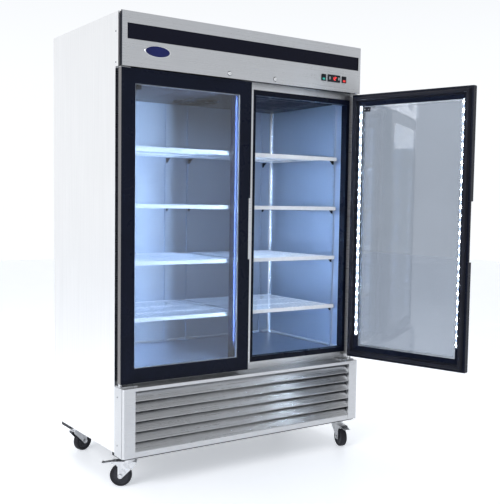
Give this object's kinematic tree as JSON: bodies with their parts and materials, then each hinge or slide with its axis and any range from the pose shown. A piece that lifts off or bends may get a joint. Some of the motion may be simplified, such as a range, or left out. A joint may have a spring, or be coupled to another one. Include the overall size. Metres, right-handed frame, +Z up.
{
  "type": "reach-in refrigerator",
  "caption": "Upright commercial refrigerator in stainless steel with hinged glass doors, lit wire shelves, a louvred machine compartment below and locking swivel casters.",
  "frame": {"origin": "on the floor, under the middle of the insulated cabinet body in width and depth", "axes": "+X to the right seen from the front, +Y to the back (the doors face -Y), +Z up"},
  "size_m": [1.6207, 1.4326, 2.118],
  "materials": {
    "stainless": "brushed",
    "galvanised": "spangled",
    "foam": "rigid foam, matt",
    "black_plastic": "satin",
    "bezel": "gloss",
    "grey_button": "matt",
    "red_lens": "gloss",
    "green_lens": "gloss",
    "zinc": "satin zinc plate",
    "white_wire": "gloss",
    "caster_rubber": "matt",
    "door_black": "satin",
    "door_glass": "clear",
    "gasket_rubber": "matt",
    "led_light": "lit, blue-white",
    "coil_fins": "finned",
    "coil_dark": "painted fins",
    "fan_grey": "satin",
    "black_paint": "gloss",
    "copper_tube": "tube, drawn"
  },
  "bodies": {
    "cabinet": {"side_skin_left": "stainless", "side_skin_right": "stainless", "rear_skin": "galvanised", "top_skin": "stainless", "foam_insulation": "foam", "liner": "stainless", "face_frame": "stainless", "breaker_strips": "black_plastic", "header_panel": "stainless", "header_backing": "black_plastic", "control_box": "galvanised", "header_fittings": "bezel", "thermostat": "black_plastic", "shelf_supports": "stainless", "evaporator_coil": "coil_fins", "evaporator_cover": "black_plastic", "compressor": "black_paint", "condenser_coil": "coil_dark", "condenser_motor": "zinc", "refrigerant_lines": "copper_tube", "drain_pan": "black_plastic", "base_frame": "stainless", "louvre_frame": "stainless", "louvre_blades": "stainless", "caster_plates": "zinc", "hinge_brackets": "zinc"},
    "door_left": {"door_frame_left": "door_black", "door_glass_left": "door_glass", "door_gasket_left": "gasket_rubber", "led_strips_left": "led_light"},
    "door_right": {"door_frame_right": "door_black", "door_glass_right": "door_glass", "door_gasket_right": "gasket_rubber", "led_strips_right": "led_light"},
    "caster_front_left": {"caster_fork_front_left": "zinc"},
    "wheel_front_left": {"caster_wheel_front_left": "caster_rubber"},
    "caster_front_right": {"caster_fork_front_right": "zinc"},
    "wheel_front_right": {"caster_wheel_front_right": "caster_rubber"},
    "caster_rear_left": {"caster_fork_rear_left": "zinc"},
    "wheel_rear_left": {"caster_wheel_rear_left": "caster_rubber"},
    "caster_rear_right": {"caster_fork_rear_right": "zinc"},
    "wheel_rear_right": {"caster_wheel_rear_right": "caster_rubber"},
    "brake_left": {"brake_pedal_left": "zinc"},
    "brake_right": {"brake_pedal_right": "zinc"},
    "lock_left": {"lock_plug_left": "zinc"},
    "thermostat_button_left": {"thermostat_button_left": "grey_button"},
    "lock_right": {"lock_plug_right": "zinc"},
    "thermostat_button_right": {"thermostat_button_right": "grey_button"},
    "light_rocker": {"light_rocker": "green_lens"},
    "power_rocker": {"power_rocker": "red_lens"},
    "evaporator_fan": {"evaporator_fan": "fan_grey"},
    "condenser_fan": {"condenser_fan": "fan_grey"},
    "shelf_left_1": {"shelf_left_1": "white_wire"},
    "shelf_left_2": {"shelf_left_2": "white_wire"},
    "shelf_left_3": {"shelf_left_3": "white_wire"},
    "shelf_left_4": {"shelf_left_4": "white_wire"},
    "shelf_right_1": {"shelf_right_1": "white_wire"},
    "shelf_right_2": {"shelf_right_2": "white_wire"},
    "shelf_right_3": {"shelf_right_3": "white_wire"},
    "shelf_right_4": {"shelf_right_4": "white_wire"}
  },
  "joints": [
    {"name": "door_left_hinge", "type": "hinge", "parent": "cabinet", "child": "door_left", "pos_m": [-0.677, -0.398, 0.48], "axis": [0, 0, -1], "range_deg": [0, 120]},
    {"name": "door_right_hinge", "type": "hinge", "parent": "cabinet", "child": "door_right", "pos_m": [0.677, -0.398, 0.48], "axis": [0, 0, 1], "range_deg": [-106, 14]},
    {"name": "caster_swivel_front_left", "type": "hinge", "parent": "cabinet", "child": "caster_front_left", "pos_m": [-0.622, -0.381, 0.127], "axis": [0, 0, 1], "continuous": true},
    {"name": "wheel_spin_front_left", "type": "hinge", "parent": "caster_front_left", "child": "wheel_front_left", "pos_m": [-0.65313, -0.3592, 0.05], "axis": [-0.5736, -0.8192, 0], "continuous": true},
    {"name": "caster_swivel_front_right", "type": "hinge", "parent": "cabinet", "child": "caster_front_right", "pos_m": [0.622, -0.381, 0.127], "axis": [0, 0, 1], "continuous": true},
    {"name": "wheel_spin_front_right", "type": "hinge", "parent": "caster_front_right", "child": "wheel_front_right", "pos_m": [0.61216, -0.4177, 0.05], "axis": [0.9659, -0.2588, 0], "continuous": true},
    {"name": "caster_swivel_rear_left", "type": "hinge", "parent": "cabinet", "child": "caster_rear_left", "pos_m": [-0.622, 0.232, 0.127], "axis": [0, 0, 1], "continuous": true},
    {"name": "wheel_spin_rear_left", "type": "hinge", "parent": "caster_rear_left", "child": "wheel_rear_left", "pos_m": [-0.58607, 0.24437, 0.05], "axis": [-0.3256, 0.9455, 0], "continuous": true},
    {"name": "caster_swivel_rear_right", "type": "hinge", "parent": "cabinet", "child": "caster_rear_right", "pos_m": [0.622, 0.232, 0.127], "axis": [0, 0, 1], "continuous": true},
    {"name": "wheel_spin_rear_right", "type": "hinge", "parent": "caster_rear_right", "child": "wheel_rear_right", "pos_m": [0.641, 0.19909, 0.05], "axis": [0.866, 0.5, 0], "continuous": true},
    {"name": "brake_left", "type": "hinge", "parent": "caster_front_left", "child": "brake_left", "pos_m": [-0.68098, -0.3397, 0.109], "axis": [-0.5736, -0.8192, 0], "range_deg": [0, 12]},
    {"name": "brake_right", "type": "hinge", "parent": "caster_front_right", "child": "brake_right", "pos_m": [0.60337, -0.45055, 0.109], "axis": [0.9659, -0.2588, 0], "range_deg": [0, 12]},
    {"name": "lock_left", "type": "hinge", "parent": "cabinet", "child": "lock_left", "pos_m": [-0.132, -0.426, 1.903], "axis": [0, 1, 0], "range_deg": [0, 90]},
    {"name": "thermostat_button_left", "type": "slide", "parent": "cabinet", "child": "thermostat_button_left", "axis": [0, 1, 0], "range_m": [0, 0.0008], "stiffness_N_per_m": 400, "springref_m": -0.0004},
    {"name": "lock_right", "type": "hinge", "parent": "cabinet", "child": "lock_right", "pos_m": [0.132, -0.426, 1.903], "axis": [0, 1, 0], "range_deg": [0, 90]},
    {"name": "thermostat_button_right", "type": "slide", "parent": "cabinet", "child": "thermostat_button_right", "axis": [0, 1, 0], "range_m": [0, 0.0008], "stiffness_N_per_m": 400, "springref_m": -0.0004},
    {"name": "light_rocker", "type": "hinge", "parent": "cabinet", "child": "light_rocker", "pos_m": [0.437, -0.425, 1.943], "axis": [1, 0, 0], "range_deg": [-20, 0]},
    {"name": "power_rocker", "type": "hinge", "parent": "cabinet", "child": "power_rocker", "pos_m": [0.573, -0.425, 1.943], "axis": [1, 0, 0], "range_deg": [-20, 0]},
    {"name": "evaporator_fan_spin", "type": "hinge", "parent": "cabinet", "child": "evaporator_fan", "pos_m": [0, 0.112, 1.854], "axis": [0, 0, 1], "continuous": true},
    {"name": "condenser_fan_spin", "type": "hinge", "parent": "cabinet", "child": "condenser_fan", "pos_m": [-0.33, -0.292, 0.32], "axis": [0, 1, 0], "continuous": true},
    {"name": "shelf_left_1_lift", "type": "slide", "parent": "cabinet", "child": "shelf_left_1", "axis": [0, 0, 1], "range_m": [0, 0.012]},
    {"name": "shelf_left_2_lift", "type": "slide", "parent": "cabinet", "child": "shelf_left_2", "axis": [0, 0, 1], "range_m": [0, 0.012]},
    {"name": "shelf_left_3_lift", "type": "slide", "parent": "cabinet", "child": "shelf_left_3", "axis": [0, 0, 1], "range_m": [0, 0.012]},
    {"name": "shelf_left_4_lift", "type": "slide", "parent": "cabinet", "child": "shelf_left_4", "axis": [0, 0, 1], "range_m": [0, 0.012]},
    {"name": "shelf_right_1_lift", "type": "slide", "parent": "cabinet", "child": "shelf_right_1", "axis": [0, 0, 1], "range_m": [0, 0.012]},
    {"name": "shelf_right_2_lift", "type": "slide", "parent": "cabinet", "child": "shelf_right_2", "axis": [0, 0, 1], "range_m": [0, 0.012]},
    {"name": "shelf_right_3_lift", "type": "slide", "parent": "cabinet", "child": "shelf_right_3", "axis": [0, 0, 1], "range_m": [0, 0.012]},
    {"name": "shelf_right_4_lift", "type": "slide", "parent": "cabinet", "child": "shelf_right_4", "axis": [0, 0, 1], "range_m": [0, 0.012]}
  ]
}
